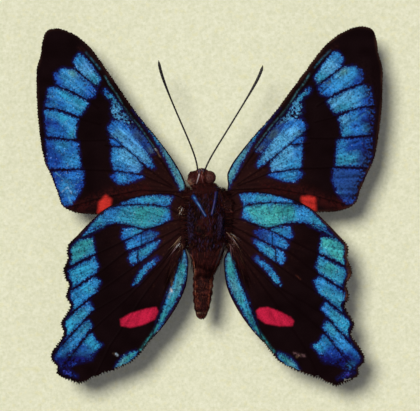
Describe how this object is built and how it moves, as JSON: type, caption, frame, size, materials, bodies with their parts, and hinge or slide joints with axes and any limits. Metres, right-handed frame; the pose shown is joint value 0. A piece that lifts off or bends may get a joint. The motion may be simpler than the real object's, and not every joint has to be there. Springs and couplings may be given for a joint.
{
  "type": "framed butterfly specimen",
  "caption": "Dried metalmark butterfly pinned underside up on a cream board in a plain open wooden frame, wings spread to show blue cells and crimson bars.",
  "frame": {"origin": "centre of the frame's outline at its back face", "axes": "+Z out of the frame's open front, +Y towards the frame's top rail, which the butterfly's head points to, +X to the viewer's right"},
  "size_m": [0.08, 0.08, 0.0155],
  "materials": {
    "stained_wood": "satin",
    "hardboard": "matt",
    "cream_paper": "matt",
    "pin_steel": "polished",
    "insect_fur": "matt",
    "insect_shell": "satin",
    "wing_scales": "satin"
  },
  "bodies": {
    "root": {"rail_bottom": "stained_wood", "rail_right": "stained_wood", "rail_top": "stained_wood", "rail_left": "stained_wood", "back_panel": "hardboard", "mounting_board": "cream_paper", "pin": "pin_steel", "thorax": "insect_fur", "abdomen": "insect_fur", "head": "insect_fur", "antenna_left": "insect_shell", "antenna_right": "insect_shell", "forewing_left": "wing_scales", "forewing_right": "wing_scales", "hindwing_left": "wing_scales", "hindwing_right": "wing_scales"}
  },
  "joints": []
}
